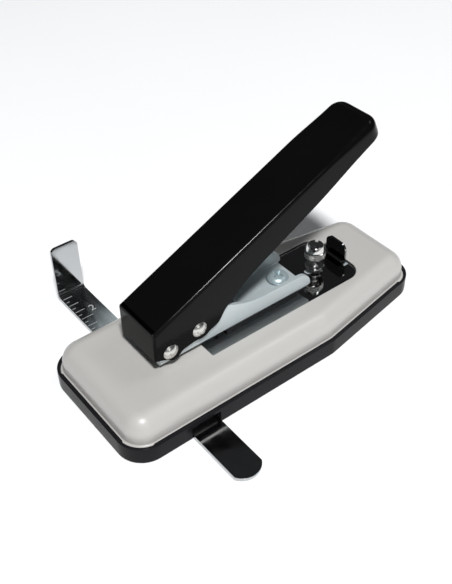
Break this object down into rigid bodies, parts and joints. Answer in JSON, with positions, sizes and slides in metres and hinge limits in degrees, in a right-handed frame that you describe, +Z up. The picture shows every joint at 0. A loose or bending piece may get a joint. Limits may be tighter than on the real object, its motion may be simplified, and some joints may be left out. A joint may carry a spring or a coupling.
{
  "type": "slot hole punch",
  "caption": "Table-top lever slot punch: grey cover on a black chip tray, raised black handle, plated arm, sliding depth gauge and chrome side guide.",
  "frame": {"origin": "centre of the base's footprint, on the surface that it stands on", "axes": "+X from the punching nose to the handle's free end, +Y towards the side guide's upturned tab, +Z up"},
  "size_m": [0.186, 0.1559, 0.1059],
  "materials": {
    "rubber": "matte, fine cellular grain",
    "black_plastic": "gloss black moulded plastic",
    "grey_paint": "light warm grey gloss enamel over pressed steel",
    "zinc_plate": "satin blue-white zinc plating",
    "tool_steel": "ground hardened steel",
    "bright_screw": "bright steel",
    "zinc_screw": "blue-white zinc plating",
    "black_paint": "gloss black enamel over pressed steel",
    "nickel_rivet": "polished nickel plating",
    "spring_wire": "oiled spring steel",
    "gauge_paint": "mirror-gloss black enamel",
    "nickel_knob": "nickel plating, knurled",
    "chrome_strip": "bright chrome plating"
  },
  "bodies": {
    "base": {"base_pad": "rubber", "chip_tray": "black_plastic", "base_cover": "grey_paint", "bed_channel": "zinc_plate", "cover_studs": "zinc_plate", "die_plate": "tool_steel", "die_screws": "bright_screw", "frame_arm": "zinc_plate", "arm_spacer": "tool_steel", "arm_screws": "zinc_screw", "arm_lock_washers": "bright_screw", "arm_nuts": "zinc_screw", "pivot_rivet": "nickel_rivet", "return_springs": "spring_wire", "thumbscrew_nut": "zinc_screw", "guide_keeper": "zinc_plate", "keeper_rivets": "bright_screw", "guide_leaf_spring": "spring_wire"},
    "handle": {"handle": "black_paint", "drive_rivet": "nickel_rivet"},
    "punch": {"punch_blade": "tool_steel", "punch_head": "tool_steel", "blade_pins": "bright_screw"},
    "depth_gauge": {"depth_gauge": "gauge_paint"},
    "clamp_washer": {"thumbscrew_washer": "bright_screw"},
    "thumbscrew": {"thumbscrew": "nickel_knob"},
    "side_guide": {"side_guide": "chrome_strip"}
  },
  "joints": [
    {"name": "handle_pivot", "type": "hinge", "parent": "base", "child": "handle", "pos_m": [-0.0553, 0, 0.0329], "axis": [0, 1, 0], "range_deg": [0, 18], "stiffness_Nm_per_rad": 1.6, "springref_deg": -20.05},
    {"name": "punch_stroke", "type": "slide", "parent": "base", "child": "punch", "axis": [0, 0, -1], "range_m": [0, 0.00524], "deforming": ["return_springs"]},
    {"name": "depth_gauge_slide", "type": "slide", "parent": "base", "child": "depth_gauge", "axis": [1, 0, 0], "range_m": [-0.004, 0.0008]},
    {"name": "side_guide_slide", "type": "slide", "parent": "base", "child": "side_guide", "axis": [0, 1, 0], "range_m": [-0.036, 0.032]},
    {"name": "washer_lift", "type": "slide", "parent": "base", "child": "clamp_washer", "axis": [0, 0, 1], "range_m": [0, 0.0011]},
    {"name": "thumbscrew_turn", "type": "hinge", "parent": "clamp_washer", "child": "thumbscrew", "pos_m": [0.0443, 0, 0.03], "axis": [0, 0, 1], "range_deg": [0, 540]}
  ],
  "couplings": [
    {"joint": "punch_stroke", "follows": "handle_pivot", "m_per_rad": 0.016656},
    {"joint": "washer_lift", "follows": "thumbscrew_turn", "m_per_rad": 0.00011141}
  ]
}
